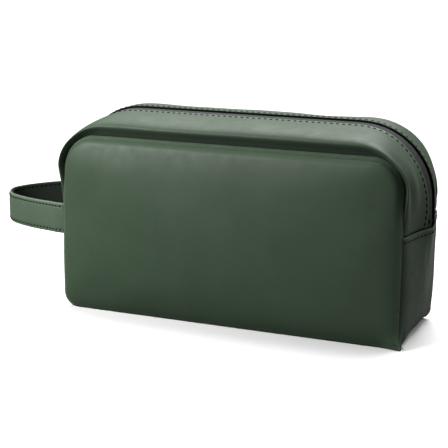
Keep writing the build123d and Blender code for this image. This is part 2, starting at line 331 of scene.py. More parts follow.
# ---- the bag's outline
class Outline:
    """A closed path of straights and arcs round the bag, seen from the front."""

    def __init__(self, half, top, foot_taper, radii):
        right_foot = half - foot_taper["right"]
        left_foot = half - foot_taper["left"]
        corners = [(right_foot, 0), (half, FOLD), (half, top), (-half, top), (-half, FOLD), (-left_foot, 0)]
        corners = np.array(corners, float)
        self.sizes = [radii["right_foot"], 0, radii["right_top"], radii["left_top"], 0, radii["left_foot"]]
        self.starts, self.ends, self.centres = [], [], []
        self.turns, self.heads = [], []
        for i, size in enumerate(self.sizes):
            before, here, after = corners[i - 1], corners[i], corners[(i + 1) % len(corners)]
            come = (here - before) / np.linalg.norm(here - before)
            go = (after - here) / np.linalg.norm(after - here)
            turn = math.atan2(come[0] * go[1] - come[1] * go[0], come @ go)
            reach = size * math.tan(turn / 2)
            self.starts.append(here - come * reach)
            self.ends.append(here + go * reach)
            self.centres.append(here - come * reach + size * np.array([-come[1], come[0]]))
            self.turns.append(turn)
            self.heads.append(math.atan2(come[1], come[0]))

    def at(self, t):
        """The point and the outward normal at each step t."""
        points, normals = [], []
        for step in np.atleast_1d(t):
            step = step % STEPS
            corner = int(step // 2)
            share = step - 2 * corner
            if share <= 1:
                a, b = self.ends[corner - 1], self.starts[corner]
                points.append(a + (b - a) * share)
                head = self.heads[corner]
            else:
                head = self.heads[corner] + self.turns[corner] * (share - 1)
                if self.sizes[corner]:
                    spoke = np.array([math.sin(head), -math.cos(head)])
                    points.append(self.centres[corner] + self.sizes[corner] * spoke)
                else:
                    points.append(self.ends[corner])
            normals.append((math.sin(head), -math.cos(head)))
        return np.array(points), np.array(normals)

    def steps(self, first, last, spacing):
        """Steps from first to last whose points lie about a spacing apart."""
        found = []
        for whole in range(first, last):
            ends, _ = self.at([whole + 1e-6, whole + 0.5, whole + 1 - 1e-6])
            length = np.linalg.norm(ends[1] - ends[0]) + np.linalg.norm(ends[2] - ends[1])
            if length < 0.01:
                continue
            count = max(2, round(length / spacing))
            found += [whole + k / count for k in range(count)]
        return np.array(found + ([last] if (last - first) % STEPS else []))


seams = {side: Outline(SEAM_HALF, SEAM_TOP[side], FOOT_TAPER, radii) for side, radii in SEAM_RADII.items()}
crest = Outline(CREST_HALF, CREST_TOP, CREST_FOOT_TAPER, CREST_RADII)


def smooth_step(x):
    """0 below 0, 1 above 1, and smooth between."""
    x = np.clip(x, 0, 1)
    return x * x * (3 - 2 * x)


def bump(distance, width):
    """1 at no distance, fading to nothing beyond about two widths."""
    return np.exp(-((distance / width) ** 2))


def arch(x):
    """1 in the middle, falling to 0 at -1 and 1."""
    return np.clip(1 - x**2, 0, 1)


def swell(share, peak):
    """A bump that is 0 at 0, 1 at the peak, and fades beyond it."""
    return share / peak * np.exp(1 - share / peak)


def soft_noise(points, size, seed):
    """Smooth values between -1 and 1 that change over a size, one for each point."""
    flat = points.reshape(-1, 3) / size + seed
    values = [noise.noise(Vector(p)) for p in flat]
    return np.array(values).reshape(points.shape[:-1])


def rippled(points, ripples):
    """The height of the ripples, each given as its size, seed and height, at each point."""
    return sum(soft_noise(points, size, seed) * height for size, seed, height in ripples)


def corner_folds(seam_normal, level, v):
    """The creases where the gusset bunches beside a panel's top corner, by distance in from the seam."""
    edge = SEAM_Y * (1 - np.abs(v))[None, :]
    folds = sum(rise * bump(edge - at, width) for at, width, rise in CORNER_FOLDS)
    window = smooth_step((level - FOLDS_FOOT) / FOLDS_FOOT_FADE)
    window = window * smooth_step((FOLDS_HEAD - level) / FOLDS_HEAD_FADE)
    return folds * (v < 0) * window * smooth_step(np.abs(seam_normal[:, 0]) * FOLDS_TURN)[:, None]


def ear(x, z):
    """How much of the ear each point by the front panel's right foot has, from 0 to 1."""
    return smooth_step((x - SEAM_HALF + EAR_START) / EAR_FADE) * bump(z, EAR_HEIGHT)


def seam_sag(v):
    """How far the seams across the ends lie above the fold's height, over shares from front to back."""
    return SEAM_LEAN * v - SEAM_SAG * (1 - v**2)


def eased(points, share):
    """A grid smoothed along its rows, by a share that may vary across it. Its two ends stay put."""
    if len(points) < EASE_ROWS:
        return points
    reach = np.arange(-EASE_ROWS, EASE_ROWS + 1)
    weights = bump(reach, EASE_ROWS / 2)
    weights /= weights.sum()
    before = 2 * points[:1] - points[EASE_ROWS:0:-1]
    after = 2 * points[-1:] - points[-2 : -EASE_ROWS - 2 : -1]
    longer = np.concatenate([before, points, after])
    smooth = sum(w * longer[i : i + len(points)] for i, w in enumerate(weights))
    return points + (smooth - points) * share[:, :, None]


def gusset(t, y, puff=1.0):
    """Points of the gusset's outside over steps t and distances y from the zip's middle."""
    v = np.asarray(y, float) / SEAM_Y
    (front_point, seam_normal), (back_point, _) = seams[-1].at(t), seams[1].at(t)
    pinched = ear(front_point[:, 0], front_point[:, 1])[:, None]
    front_point = front_point + pinched * np.array([EAR_OUT, 0])
    seam_point = np.where((v < 0)[None, :, None], front_point[:, None, :], back_point[:, None, :])
    crest_point, crest_normal = crest.at(t)
    normal = unit(seam_normal + crest_normal)
    level = crest_point[:, 1][:, None]
    top = smooth_step(normal[:, 1])[:, None]
    side = (1 - np.abs(normal[:, 1]))[:, None]
    high = smooth_step((level - FOLD) / FOLD_FADE)
    under = smooth_step((FOLD - level) / FOLD_FADE)
    off_floor = 1 - smooth_step(1 - level / FLOOR_FADE)

    far = np.abs(v)[None, :]
    edge = 1 - far
    dome = np.sqrt(arch(far))
    blunt = RIDGE_BLUNT + FOOT_BLUNT * under
    tent = 1 - (np.sqrt(far**2 + blunt**2) - blunt) / (np.sqrt(1 + blunt**2) - blunt)
    rise = top * dome + (1 - top) * tent

    slack = np.where(v > 0, 1 - BACK_TIGHTNESS * high * side, 1.0)
    peak = ROLL_PEAK * top + SIDE_ROLL_PEAK * (1 - top)
    overhang = ROLL_OVERHANG * top + side * (SIDE_OVERHANG + SIDE_OVERHANG_HIGH * high)
    forward = overhang * swell(edge, peak) * slack
    outward = (ROLL_RISE * top + side * (SIDE_RISE + SIDE_RISE_HIGH * high)) * swell(edge, RISE_PEAK) * slack
    wave = np.sin((level - PINCH_HEIGHT) / PINCH_SPAN * math.pi + math.pi * 1.5)
    outward = outward + side * under * (1 - far**2) * PINCH_DEPTH * wave
    forward = forward * off_floor * puff
    outward = (outward + corner_folds(seam_normal, level, v)) * off_floor * puff

    right = smooth_step(seam_normal[:, 0])[:, None] * smooth_step((level - FOLD) / RIDGE_FADE + 1)
    right = np.maximum(right, TOP_RIDGE * top)
    padding = np.clip((np.abs(v) * SEAM_Y - SLOT) / (SEAM_Y - SLOT), 0, 1)[None, :]
    padding = 4 * padding * (1 - padding) * np.where(v > 0, BACK_PADDING, FRONT_PADDING)
    outward = outward + top * (padding - ZIP_SINK)
    landing = bump(level - LANDING_Z, LANDING_REACH)
    width = RIDGE_WIDTH + LANDING_FLAT * landing * (v[None, :] * SEAM_Y < RIDGE_Y)
    ridge = bump(v[None, :] * SEAM_Y - RIDGE_Y, width) - 1
    outward = outward + right * RIDGE_RISE * (ridge + far**2)

    flat = seam_point + (crest_point[:, None, :] - seam_point) * rise[:, :, None]
    notch = bump(edge * SEAM_Y - EAR_NOTCH_AT, EAR_NOTCH_WIDTH) * (v < 0)
    outward = outward - EAR_NOTCH * notch * pinched * side
    flat = flat + normal[:, None, :] * outward[:, :, None]
    tuck = SEAM_TUCK * high * bump(edge * SEAM_Y, SEAM_TUCK_REACH)
    forward = forward + EAR_FORWARD * pinched * (v < 0) * bump(edge * SEAM_Y, EAR_NOTCH_AT)
    depth = SEAM_Y * v[None, :] + np.sign(v)[None, :] * (forward - tuck * puff)
    points = np.stack([flat[:, :, 0], depth, flat[:, :, 1]], axis=2)
    ripple = rippled(points, GUSSET_RIPPLES)
    ripple = ripple * np.clip(1 - far**4, 0, 1) * off_floor * puff
    ripple = ripple * smooth_step((far * SEAM_Y - SLOT - ZIP_CALM) / ZIP_CALM_REACH + 1 - high * top)
    points[:, :, 0] += ripple * normal[:, None, 0]
    points[:, :, 2] += ripple * normal[:, None, 1]
    points[:, :, 2] += seam_sag(v)[None, :] * bump(level - FOLD, SAG_REACH)
    return eased(points, 1 - far**8)


def spaced(*stops):
    """Values that run through the stops, given as (value, spacing on the way to the next one)."""
    found = []
    for (start, gap), (stop, _) in zip(stops, stops[1:]):
        count = max(1, round(abs(stop - start) / gap))
        found += [start + (stop - start) * k / count for k in range(count)]
    return np.array(found + [stops[-1][0]])


def ordered(side, distances):
    """Distances from the zip's middle as y values on one side of it, in rising order."""
    return np.sort(side * distances)


def inwards(grid, depth):
    """A gusset grid moved in by a depth, which may vary across it."""
    return grid + grid_normals(grid) * np.asarray(depth)[..., None]


# ---- panels
def crowded(count):
    """Values from -1 to 1 that lie closer together near both."""
    even = np.linspace(-1, 1, count)
    return np.sin(even * math.pi / 2) * EDGE_CROWDING + even * EVEN_SPACING


def panel_grid(spacing):
    """Shares across a panel, from -1 to 1, and up it, from 0 to 1."""
    u = crowded(round(2 * SEAM_HALF / spacing))
    w = crowded(round(PANEL_TOP / spacing))
    return np.meshgrid(u, (w + 1) / 2, indexing="ij")


def corner_radius(side, x, z):
    """The radius of the nearest corner of a panel."""
    radii = SEAM_RADII[side]
    middle = SEAM_TOP[side] / 2
    right = np.where(z > middle, radii["right_top"], radii["right_foot"])
    left = np.where(z > middle, radii["left_top"], radii["left_foot"])
    return np.where(x > 0, right, left)


def into_outline(side, x, z):
    """Moves the points of a rectangle into the panel's outline, bending its square corners round."""
    radius = corner_radius(side, x, z)
    middle = SEAM_TOP[side] / 2
    p = (np.abs(x) - (SEAM_HALF - radius)) / radius
    q = (np.abs(z - middle) - (middle - radius)) / radius
    inside = (p > 0) & (q > 0)
    p_safe = np.clip(p, 0, 1)
    q_safe = np.clip(q, 0, 1)
    bent_x = (SEAM_HALF - radius) + radius * p_safe * np.sqrt(1 - q_safe**2 / 2)
    bent_z = (middle - radius) + radius * q_safe * np.sqrt(1 - p_safe**2 / 2)
    new_x = np.where(inside, np.sign(x) * bent_x, x)
    new_z = np.where(inside, middle + np.sign(z - middle) * bent_z, z)
    return new_x, new_z


def edge_distance(side, x, z):
    """How far inside the panel's outline a point lies."""
    radius = corner_radius(side, x, z)
    middle = SEAM_TOP[side] / 2
    p = np.abs(x) - SEAM_HALF + radius
    q = np.abs(z - middle) - middle + radius
    outside = np.hypot(np.maximum(p, 0), np.maximum(q, 0))
    return np.maximum(radius - outside - np.minimum(np.maximum(p, q), 0), 0)


def pillow(distance):
    """Rises steeply from 0 at a seam and levels off at 1 where the panel's roll ends."""
    return np.sqrt(arch(1 - np.minimum(distance / PANEL_ROLL, 1)))


def panel_inwards(side, grid, depth):
    """A panel's grid moved in by a depth."""
    return grid + grid_normals(grid) * (depth * side)


def panel_surface(side, spacing):
    """Points of a panel's outside, on the front (-1) or the back (1)."""
    u, w = panel_grid(spacing)
    x, z = into_outline(side, u * SEAM_HALF, w * SEAM_TOP[side])
    away = edge_distance(side, x, z)
    roll = pillow((1 - np.abs(u)) * SEAM_HALF) * pillow(np.minimum(w, 1 - w) * SEAM_TOP[side])
    across = np.clip(1 - np.abs(x / SEAM_HALF) ** PANEL_FULLNESS, 0, 1)
    up = arch(z / SEAM_TOP[side] * 2 - 1)
    rise = PANEL_ROLL_RISE * roll + (PANEL_FRONT - SEAM_Y - PANEL_ROLL_RISE) * across * up
    taper = np.where(x > 0, FOOT_TAPER["right"], FOOT_TAPER["left"])
    lean = taper * (1 - np.minimum(z / FOLD, 1)) * x / SEAM_HALF
    tuck = SEAM_TUCK * smooth_step((z - FOLD) / FOLD_FADE) * bump(away, SEAM_TUCK_REACH)
    pinched = ear(x - lean, z) * (side < 0)
    x, rise = x - lean + EAR_OUT * pinched, rise + EAR_FORWARD * pinched
    points = np.stack([x, side * (SEAM_Y + rise - tuck), z], axis=2)
    points[:, :, 1] += side * rippled(points, PANEL_RIPPLES) * np.minimum(away / PANEL_CALM, 1)
    return points


# ---- materials
def srgb(red, green, blue):
    """A linear colour from 0-255 display values."""
    shares = [value / 255 for value in (red, green, blue)]
    return (*[c / 12.92 if c <= 0.0404 else ((c + 0.055) / 1.055) ** 2.4 for c in shares], 1.0)


class Finish:
    """A procedural material, built up node by node."""

    def __init__(self, name, roughness=0.5, metallic=0.0, specular=0.5, sheen=0.0, sheen_roughness=0.5):
        self.material = bpy.data.materials.new(name)
        self.material.use_nodes = True
        self.tree = self.material.node_tree
        self.shader = self.tree.nodes["Principled BSDF"]
        inputs = {
            "Roughness": roughness,
            "Metallic": metallic,
            "Specular IOR Level": specular,
            "Sheen Weight": sheen,
            "Sheen Roughness": sheen_roughness,
        }
        for key, value in inputs.items():
            self.feed(self.shader.inputs[key], value)
        self.place = self.node("ShaderNodeTexCoord")
        self.height = None

    def feed(self, socket, value):
        """Gives a socket a value, or links another node's output to it."""
        if isinstance(value, bpy.types.NodeSocket):
            self.tree.links.new(value, socket)
        else:
            socket.default_value = value

    def node(self, kind, inputs=None, **settings):
        """A node with its settings, and its inputs given by name or by number."""
        made = self.tree.nodes.new(kind)
        for key, value in settings.items():
            setattr(made, key, value)
        for key, value in (inputs or {}).items():
            self.feed(made.inputs[key], value)
        return made

    def noise(self, size, detail=2.0):
        """Noise whose features are about a size across, in millimetres."""
        inputs = {"Scale": 1 / (size * MM), "Detail": detail, "Vector": self.place.outputs["Object"]}
        return self.node("ShaderNodeTexNoise", inputs).outputs["Fac"]

    def cells(self, size):
        """Distance to the nearest cell wall, for a pebbled grain with cells about a size across."""
        inputs = {"Scale": 1 / (size * MM), "Vector": self.place.outputs["Object"]}
        return self.node("ShaderNodeTexVoronoi", inputs, feature="DISTANCE_TO_EDGE").outputs["Distance"]

    def ribs(self, pitch, direction):
        """Ridges a pitch apart along a UV direction, in millimetres."""
        inputs = {"Scale": 2 * math.pi / (20 * pitch * MM), "Vector": self.place.outputs["UV"]}
        made = self.node("ShaderNodeTexWave", inputs, bands_direction=direction, wave_profile="SIN")
        return made.outputs["Fac"]

    def attribute(self, name):
        made = self.node("ShaderNodeAttribute", attribute_name=name)
        return made.outputs["Fac"]

    def math(self, operation, first, second):
        return self.node("ShaderNodeMath", {0: first, 1: second}, operation=operation).outputs["Value"]

    def ramp(self, value, low, high):
        """A number that follows a noise, between two limits."""
        inputs = {"From Min": NOISE_LOW, "From Max": NOISE_HIGH, "To Min": low, "To Max": high}
        inputs["Value"] = value
        return self.node("ShaderNodeMapRange", inputs).outputs["Result"]

    def blend(self, share, first, second):
        """One colour turning into another as a share goes from 0 to 1."""
        inputs = {"Factor": share, 6: first, 7: second}
        return self.node("ShaderNodeMix", inputs, data_type="RGBA").outputs[2]

    def colour(self, output):
        self.feed(self.shader.inputs["Base Color"], output)

    def roughness(self, output):
        self.feed(self.shader.inputs["Roughness"], output)

    def relief(self, value, depth, strength=1.0):
        """Adds bump of a depth in millimetres to what is already there."""
        inputs = {"Strength": strength, "Distance": depth * MM, "Height": value}
        if self.height is not None:
            inputs["Normal"] = self.height
        self.height = self.node("ShaderNodeBump", inputs).outputs["Normal"]
        self.feed(self.shader.inputs["Normal"], self.height)


def leather_cloth(name, dark, light):
    """Matte coated cloth with a fine pebbled grain, paler on its edges by wear and painted highlight, and
    darker where painted shade is asked for.
    """
    finish = Finish(name, specular=0.32, sheen=0.06, sheen_roughness=0.4)
    mottle = finish.ramp(finish.noise(46, 3), 0.0, 1.0)
    body = finish.blend(mottle, dark, light)
    fine = finish.ramp(finish.noise(1.6, 2), 0.0, 0.18)
    body = finish.blend(fine, body, srgb(34, 50, 33))
    # paler edges: partly wear, partly painted highlight
    pale_edges = finish.math("MULTIPLY", finish.attribute("wear_and_highlight"), finish.ramp(finish.noise(3.5, 2), 0.55, 1.0))
    body = finish.blend(pale_edges, body, srgb(104, 122, 102))
    # painted shade: darker, and rougher, on the strap's inner face and down in the seams
    body = finish.blend(finish.attribute("painted_shade"), body, srgb(9, 14, 9))
    finish.colour(body)
    dull = finish.math("MULTIPLY", finish.attribute("painted_shade"), 0.95)
    finish.roughness(finish.math("MAXIMUM", finish.ramp(finish.noise(7, 3), 0.50, 0.60), dull))
    finish.relief(finish.cells(1.1), 0.05, 0.35)
    finish.relief(finish.noise(0.7, 3), 0.03, 0.5)
    return finish.material


def woven(name, dark, light, pitch, roughness):
    """Plain woven cloth, its threads running along and across the piece."""
    finish = Finish(name, specular=0.1)
    warp = finish.ribs(pitch, "X")
    weft = finish.ribs(pitch * 1.15, "Y")
    over = finish.math("MAXIMUM", warp, weft)
    uneven = finish.math("MULTIPLY", over, finish.ramp(finish.noise(4, 2), 0.7, 1.0))
    finish.colour(finish.blend(uneven, dark, light))
    finish.roughness(finish.ramp(finish.noise(6, 2), roughness - 0.06, roughness + 0.06))
    finish.relief(over, 0.12, 0.6)
    finish.relief(finish.noise(0.5, 2), 0.03, 0.4)
    return finish.material


def speckled(name, tones, shine, grain, **settings):
    """A finish of one kind of stuff, uneven in its colour, its roughness and its surface.

    Tones are a size, a detail and two colours. Shine is a size, a detail and two roughnesses. Grain is a
    size, a depth and a strength.
    """
    finish = Finish(name, **settings)
    size, detail, dark, light = tones
    finish.colour(finish.blend(finish.noise(size, detail), dark, light))
    size, detail, low, high = shine
    finish.roughness(finish.ramp(finish.noise(size, detail), low, high))
    size, depth, strength = grain
    finish.relief(finish.noise(size, 2), depth, strength)
    return finish.material


LEATHER_CLOTH = leather_cloth("leather_cloth", srgb(49, 67, 48), srgb(55, 73, 54))
# painted light: the strap is the same leather cloth as the bag, painted paler for the stronger light on it
STRAP_CLOTH_PAINTED_LIT = leather_cloth("strap_leather_cloth_painted_lit", srgb(67, 84, 66), srgb(73, 90, 72))
TAPE_CLOTH = woven("zip_tape_weave", srgb(40, 42, 41), srgb(75, 78, 76), 0.75, 0.85)
LINING_CLOTH = woven("lining_weave", srgb(22, 23, 24), srgb(44, 46, 47), 0.55, 0.7)
BINDING_CLOTH = woven("binding_weave", srgb(12, 13, 13), srgb(34, 36, 36), 0.9, 0.75)
THREAD = speckled(
    "sewing_thread",
    tones=(0.9, 2, srgb(8, 13, 8), srgb(20, 29, 19)),
    shine=(1.5, 2, 0.8, 0.95),
    grain=(0.35, 0.08, 0.6),
    specular=0.08,
)
# near-black edge paint on the strips' folded edges, which also stands for the painted shade in the gap beside
# the zip
EDGE_PAINT_AND_SHADE = speckled(
    "edge_paint_and_gap_shade",
    tones=(2.0, 2, srgb(4, 5, 4), srgb(12, 14, 12)),
    shine=(1.2, 2, 0.8, 0.95),
    grain=(0.8, 0.04, 0.5),
    specular=0.06,
)
NYLON = speckled(
    "coil_nylon",
    tones=(2.5, 2, srgb(30, 31, 31), srgb(48, 49, 49)),
    shine=(3, 2, 0.30, 0.42),
    grain=(0.6, 0.02, 0.4),
)
METAL = speckled(
    "nickel_plate",
    tones=(5, 3, srgb(176, 178, 180), srgb(206, 208, 210)),
    shine=(2.2, 4, 0.20, 0.36),
    grain=(0.25, 0.01, 0.4),
    metallic=1.0,
)


# ---- attributes that the materials read
def set_uv(obj, coordinates):
    """Gives each vertex a place on the cloth, in metres."""
    layer = obj.data.uv_layers.new(name="cloth")
    index = np.empty(len(obj.data.loops), int)
    obj.data.loops.foreach_get("vertex_index", index)
    layer.data.foreach_set("uv", (coordinates[index] * MM).ravel())


def set_attribute(obj, name, values):
    """Gives each vertex a number that the materials read."""
    attribute = obj.data.attributes.new(name, "FLOAT", "POINT")
    attribute.data.foreach_set("value", np.asarray(values, np.float32).ravel())


def column_reach(grid):
    """How far along the rows and across the columns each grid point lies, in millimetres."""
    along = np.linalg.norm(np.diff(grid, axis=0), axis=2).mean(axis=1)
    across = np.linalg.norm(np.diff(grid, axis=1), axis=2).mean(axis=0)
    rows = np.concatenate([[0], np.cumsum(along)])
    columns = np.concatenate([[0], np.cumsum(across)])
    return rows, columns


def cloth_slab(
    name, outer, inner, material, wear_and_highlight=(0, 0), rim=None, painted=None, painted_shade=0.0, crease_shade=(0, 0)
):
    """A closed sheet with its cloth coordinates, paler on its first and last edges by wear and painted
    highlight, with painted shade on its inner face.

    One edge, first (0) or last (1), may be painted with edge paint that also stands for shade. A rim gives the
    painted highlight at each point of the outer face.
    The crease shade is painted shade that darkens the outer face beside its first and last edges.
    """
    obj = slab(name, outer, inner, material)
    rows, columns = column_reach(outer)
    count, from_last = len(columns), columns[-1] - columns
    around = np.concatenate([columns, [columns[-1] + 0.1] * EDGE_STEPS, columns[::-1], [0] * EDGE_STEPS])
    total = len(around)
    set_uv(obj, np.stack([np.repeat(rows, total), np.tile(around, len(rows))], axis=1))
    # paleness by wear and painted highlight beside the first and last edges
    pale_edges = wear_and_highlight[0] * np.exp(-columns / PALE_EDGE_REACH) + wear_and_highlight[1] * np.exp(-from_last / PALE_EDGE_REACH)
    pale_edges = np.concatenate([pale_edges, [wear_and_highlight[1]] * EDGE_STEPS, [0] * count, [wear_and_highlight[0]] * EDGE_STEPS])
    # painted shade beside the seams and on the inner face
    dark = crease_shade[0] * np.exp(-columns / CREASE_SHADE_REACH) + crease_shade[1] * np.exp(-from_last / CREASE_SHADE_REACH)
    dark = np.concatenate([dark, [0] * EDGE_STEPS, [painted_shade] * count, [0] * EDGE_STEPS])
    pale_edges = np.tile(pale_edges, (len(rows), 1))
    if rim is not None:
        pale_edges[:, :count] += rim
    set_attribute(obj, "wear_and_highlight", pale_edges)
    set_attribute(obj, "painted_shade", np.tile(dark, len(rows)))
    if painted is not None:
        obj.data.materials.append(EDGE_PAINT_AND_SHADE)
        first = count if painted == 1 else 2 * count + EDGE_STEPS
        for polygon in obj.data.polygons:
            places = [index % total for index in polygon.vertices]
            if len(places) == 4 and all(first - 1 <= p <= first + EDGE_STEPS or p == 0 for p in places):
                polygon.material_index = 1
    return obj


# ---- cloth simulation
def softened(grid, rounds):
    """A grid averaged with its neighbours a number of times, its edges unmoved."""
    for _ in range(rounds):
        beside = grid[:-2, 1:-1] + grid[2:, 1:-1] + grid[1:-1, :-2] + grid[1:-1, 2:]
        grid = grid.copy()
        grid[1:-1, 1:-1] = 0.4 * grid[1:-1, 1:-1] + 0.15 * beside
    return grid


def inflate(grid, pinned, cap, rounds):
    """Blows a sheet out from inside with its pinned points held, moving none of it further than a cap.

    The movement is then softened by a number of rounds, because the foam takes up small wrinkles.
    """
    rows, columns, _ = grid.shape
    sheet = mesh_object("inflating", grid.reshape(-1, 3), quads(rows, columns), LEATHER_CLOTH)
    group = sheet.vertex_groups.new(name="sewn")
    for index in np.flatnonzero(pinned.ravel()):
        group.add([int(index)], 1.0, "REPLACE")
    cloth = sheet.modifiers.new("cloth", "CLOTH")
    cloth.settings.vertex_group_mass = "sewn"
    for key, value in CLOTH_SETTINGS.items():
        setattr(cloth.settings, key, value)
    cloth.settings.effector_weights.gravity = 0
    cloth.collision_settings.use_collision = False
    scene = bpy.context.scene
    cloth.point_cache.frame_start = 1
    cloth.point_cache.frame_end = CLOTH_FRAMES
    for number in range(1, CLOTH_FRAMES + 1):
        scene.frame_set(number)
    depsgraph = bpy.context.evaluated_depsgraph_get()
    moved = sheet.evaluated_get(depsgraph).to_mesh()
    flat = np.empty(rows * columns * 3)
    moved.vertices.foreach_get("co", flat)
    blown = flat.reshape(rows, columns, 3) / MM
    bpy.data.objects.remove(sheet)
    scene.frame_set(1)
    shift = blown - grid
    furthest = np.linalg.norm(shift, axis=2).max()
    return grid + softened(shift * min(1, cap / furthest), rounds)


# ---- pieces
SIDE_NAMES = {-1: "front", 1: "back"}


def place(obj, body, nodes=()):
    """Sets the CAD body that a piece rides on, and hides the CAD nodes it stands in for. A piece of a mouth
    instead has its transform baked into its mesh.
    """
    if body.endswith("_mouth"):
        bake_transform(obj)
    else:
        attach(obj, body)
    if nodes:
        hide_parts(*nodes)


def polyline_lengths(line):
    steps = np.linalg.norm(np.diff(line, axis=0), axis=1)
    return np.concatenate([[0], np.cumsum(steps)])


def sample(stations, reach, line):
    """Points of a line at stations along it, where reach says how far along each of its points lies."""
    return np.stack([np.interp(stations, reach, line[:, a]) for a in range(3)], axis=-1)


def dashes(line, normals, start=2.0, pitch=STITCH_PITCH, length=STITCH_LENGTH, lift=0.2):
    """Short stitches along a line on the surface, each standing proud in its middle and sunk at its ends."""
    reach = polyline_lengths(line)
    total = reach[-1]
    found = []
    count = int((total - 2 * start) / pitch) + 1
    first = (total - (count - 1) * pitch) / 2
    for k in range(count):
        middle = first + k * pitch
        stations = np.linspace(middle - length / 2, middle + length / 2, len(STITCH_PROFILE))
        heights = lift + np.array(STITCH_PROFILE)
        found.append(sample(stations, reach, line) + sample(stations, reach, normals) * heights[:, None])
    return found


def line_across(grid, y):
    """The line along a gusset grid at one distance from the zip's middle, and its outward normals."""
    outward = -grid_normals(grid)
    line = [sample(y, row[:, 1], row) for row in grid]
    facing = [sample(y, row[:, 1], normals) for row, normals in zip(grid, outward)]
    return np.array(line), np.array(facing)


def make_panel(side):
    """A padded panel in leather cloth, with its lining behind it."""
    name = SIDE_NAMES[side]
    grid = panel_surface(side, GRID)
    u, w = panel_grid(GRID)
    away = edge_distance(side, *into_outline(side, u * SEAM_HALF, w * SEAM_TOP[side]))
    turn = slice(None, None, side)
    grid = inflate(grid[turn], (away < SEWN_EDGE)[turn], PANEL_CAP, PANEL_SOFTNESS)[turn]
    # painted highlight: a thin pale line just inside the panel's seam
    rim = RIM_HIGHLIGHT * bump(away - RIM_IN, RIM_WIDTH)
    inner = panel_inwards(side, grid, LEATHER)
    panel = cloth_slab(f"{name}_panel_skin", grid, inner, LEATHER_CLOTH, rim=rim)
    nodes = [f"{name}_{layer}_{half}" for layer in ("panel", "foam") for half in ("lower", "upper")]
    place(panel, f"{name}_mouth", nodes)
    plain = panel_surface(side, 2 * GRID)
    outer = panel_inwards(side, plain, LINING_DEPTH + LINING_GAP)
    inner = panel_inwards(side, plain, LINING_DEPTH + LINING_GAP + LINING)
    lining = cloth_slab(f"{name}_panel_lining", outer, inner, LINING_CLOTH)
    place(lining, f"{name}_mouth", [f"{name}_lining_lower", f"{name}_lining_upper"])


TOP_STEPS = crest.steps(TOP_START, TOP_END, GRID)
BASE_STEPS = crest.steps(BASE_START, BASE_END, GRID)
STRIP_SPREAD = spaced((SLOT, 0.6), (9.0, 1.6), (27.0, 0.9), (33.0, 0.5), (SEAM_Y, 0.5))
BASE_SPREAD = spaced((-SEAM_Y, 0.6), (-32.0, 1.9), (32.0, 0.6), (SEAM_Y, 0.6))


def sewn_edges(grid):
    """Marks the points round the edges of a grid."""
    pinned = np.zeros(grid.shape[:2], bool)
    pinned[[0, -1], :] = True
    pinned[:, [0, -1]] = True
    return pinned


def line_gusset(name, steps, y, body, node):
    """A lining cloth inside a length of the gusset."""
    plain = gusset(steps, y, puff=0.0)
    outer, inner = inwards(plain, LINING_DEPTH), inwards(plain, LINING_DEPTH + LINING)
    place(cloth_slab(name, outer, inner, LINING_CLOTH), body, [node])


def lifted_at_ends(grid, lift, reach):
    """A gusset grid lifted near the seams across the ends, or pressed in by a lift below 0."""
    away = np.abs(grid[:, :, 2] - FOLD - seam_sag(grid[:, :, 1] / SEAM_Y))
    return grid - grid_normals(grid) * (lift * bump(away, reach))[:, :, None]


def sewn_grooves(grid, rows):
    """Sinks stitch grooves into a gusset grid at each distance from the zip's middle."""
    y = np.abs(grid[:, :, 1])
    sink = sum(GROOVE_DEPTH * bump(y - at, GROOVE_WIDTH) for at in rows)
    return grid + grid_normals(grid) * sink[:, :, None]


def make_strip(side):
    """One zip strip, its edge folded back beside the zip, with its lining and its stitches."""
    name = SIDE_NAMES[side]
    y = ordered(side, STRIP_SPREAD)
    grid = gusset(TOP_STEPS, y)
    pinned = sewn_edges(grid)
    pinned[:, np.abs(y) < ZIP_STITCH + ZIP_HELD] = True
    grid = inflate(grid, pinned, STRIP_CAP, GUSSET_SOFTNESS)
    grid = lifted_at_ends(grid, -END_PRESS, END_PRESS_REACH)
    grid = sewn_grooves(grid, [ZIP_STITCH])
    fold = bump(np.abs(y) - SLOT, FOLD_LIFT_REACH)
    lifted = grid - grid_normals(grid) * (FOLD_LIFT[side] * fold)[None, :, None]
    inner = inwards(grid, LEATHER)
    # the folded edges by the zip are paler by wear and painted highlight and carry edge paint that also stands
    # for shade; painted shade darkens each strip by its seam
    wear_and_highlight, crease_shade, painted = ((0, 0.8), (STRIP_CREASE_SHADE, 0), 1) if side < 0 else ((0.2, 0), (0, STRIP_CREASE_SHADE), 0)
    strip = cloth_slab(
        f"zip_strip_{name}_skin", lifted, inner, LEATHER_CLOTH, wear_and_highlight=wear_and_highlight, painted=painted, crease_shade=crease_shade
    )
    nodes = [f"zip_strip_{name}", f"strip_foam_{name}"]
    place(strip, f"{name}_mouth", nodes)

    line, facing = line_across(lifted, side * ZIP_STITCH)
    stitches = tube(f"zip_stitches_{name}", dashes(line, facing), STITCH_RADIUS, THREAD, sides=6)
    place(stitches, f"{name}_mouth")

    y = ordered(side, spaced((TAPE_REACH - 4, 2.5), (SEAM_Y - 1, 2.5)))
    line_gusset(f"strip_{name}_lining", TOP_STEPS, y, f"{name}_mouth", f"strip_lining_{name}")


